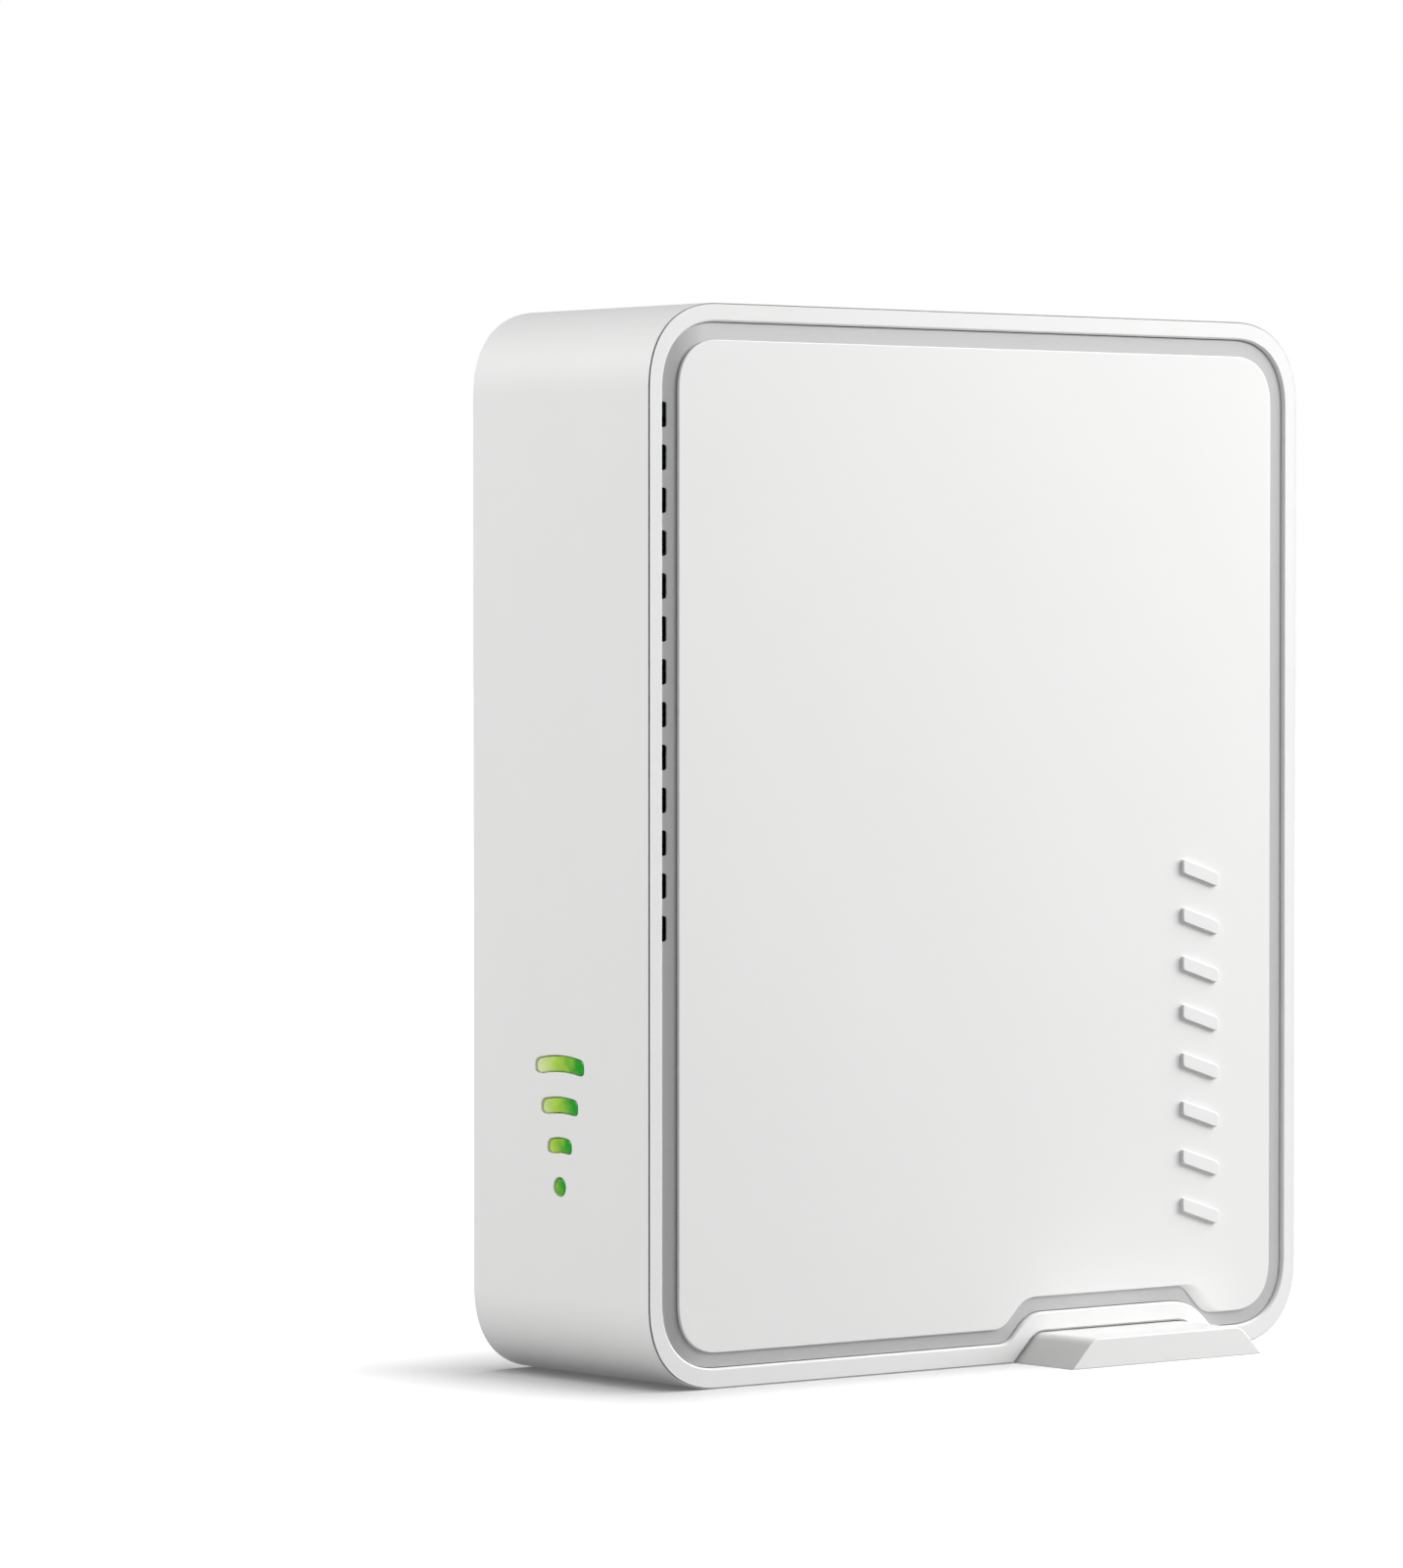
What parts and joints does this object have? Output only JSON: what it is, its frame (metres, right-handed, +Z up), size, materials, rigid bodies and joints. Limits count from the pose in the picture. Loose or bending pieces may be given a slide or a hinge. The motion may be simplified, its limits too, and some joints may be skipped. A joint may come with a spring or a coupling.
{
  "type": "wireless router",
  "caption": "Slim upright wireless router: rounded white case with a framed front panel, signal-arc lights on one edge, sockets on the other, and a low cross foot.",
  "frame": {"origin": "on the surface the router stands on, under the middle of the case", "axes": "+Z up along the case's height, the large front panel faces -Y, the sockets are on the +X side and the status lights on the -X side"},
  "size_m": [0.122, 0.0644, 0.15],
  "materials": {
    "casing_white": "satin white moulded plastic, very fine grain",
    "panel_white": "smooth semi-gloss white plastic",
    "trim_silver": "satin silver-grey painted plastic",
    "contact_gold": "gold flash on spring brass",
    "label_film": "matt silver polyester film, blank",
    "socket_plate_grey": "fine textured mid grey plastic",
    "pad_rubber": "soft dark grey rubber",
    "lens_green": "clear green light pipe, lit",
    "diode_body": "pale yellow phosphor in a white body",
    "black_plastic": "black plastic",
    "board_green": "green solder mask over copper tracks",
    "ribbon_film": "pale flexible film with printed conductors",
    "chip_epoxy": "black moulded epoxy",
    "tin_steel": "tinned steel",
    "fin_aluminium": "natural extruded aluminium",
    "can_aluminium": "drawn aluminium can",
    "pad_silicone": "soft blue-grey silicone",
    "ferrite_grey": "dark grey ferrite",
    "socket_blue": "blue moulded plastic",
    "socket_yellow": "yellow moulded plastic",
    "button_red": "red moulded plastic",
    "lead_black": "black coaxial jacket",
    "lead_white": "white coaxial jacket"
  },
  "bodies": {
    "router": {"side_band": "casing_white", "front_cover": "casing_white", "front_panel": "panel_white", "trim_ring": "trim_silver", "back_cover": "casing_white", "rating_label": "label_film", "port_plate": "socket_plate_grey", "stand_foot": "casing_white", "foot_pad_front": "pad_rubber", "foot_pad_rear": "pad_rubber", "base_pad_front": "pad_rubber", "base_pad_rear": "pad_rubber", "light_lens_large": "lens_green", "light_lens_medium": "lens_green", "light_lens_small": "lens_green", "light_lens_dot": "lens_green", "status_led_large": "diode_body", "status_led_medium": "diode_body", "status_led_small": "diode_body", "status_led_dot": "diode_body", "lens_holder": "black_plastic", "light_board": "board_green", "light_ribbon": "ribbon_film", "main_board": "board_green", "processor": "chip_epoxy", "thermal_pad": "pad_silicone", "heatsink": "fin_aluminium", "radio_shield_low": "tin_steel", "radio_shield_high": "tin_steel", "memory_chip": "chip_epoxy", "flash_chip": "chip_epoxy", "switch_chip": "chip_epoxy", "line_transformer_low": "chip_epoxy", "line_transformer_high": "chip_epoxy", "clock_crystal": "tin_steel", "power_inductor": "ferrite_grey", "capacitor_low": "can_aluminium", "capacitor_high": "can_aluminium", "antenna_top": "board_green", "antenna_side": "board_green", "antenna_lead_top": "lead_black", "antenna_lead_side": "lead_white", "wan_jack": "socket_blue", "lan_jack_1": "socket_yellow", "lan_jack_2": "socket_yellow", "lan_jack_3": "socket_yellow", "dc_jack": "black_plastic", "dc_pin": "contact_gold", "power_switch": "black_plastic", "reset_switch": "black_plastic", "wps_switch": "black_plastic", "cover_screw_1": "tin_steel", "cover_screw_2": "tin_steel", "cover_screw_3": "tin_steel", "cover_screw_4": "tin_steel"},
    "power_rocker": {"power_rocker": "black_plastic"},
    "reset_button": {"reset_button": "button_red"},
    "wps_button": {"wps_button": "casing_white"}
  },
  "joints": [
    {"name": "power_rocker_tilt", "type": "hinge", "parent": "router", "child": "power_rocker", "pos_m": [0.0575, 0, 0.032], "axis": [0, -1, 0], "range_deg": [0, 14]},
    {"name": "reset_button_push", "type": "slide", "parent": "router", "child": "reset_button", "axis": [-1, 0, 0], "range_m": [0, 0.0005], "stiffness_N_per_m": 1500},
    {"name": "wps_button_push", "type": "slide", "parent": "router", "child": "wps_button", "axis": [-1, 0, 0], "range_m": [0, 0.0008], "stiffness_N_per_m": 1500}
  ]
}
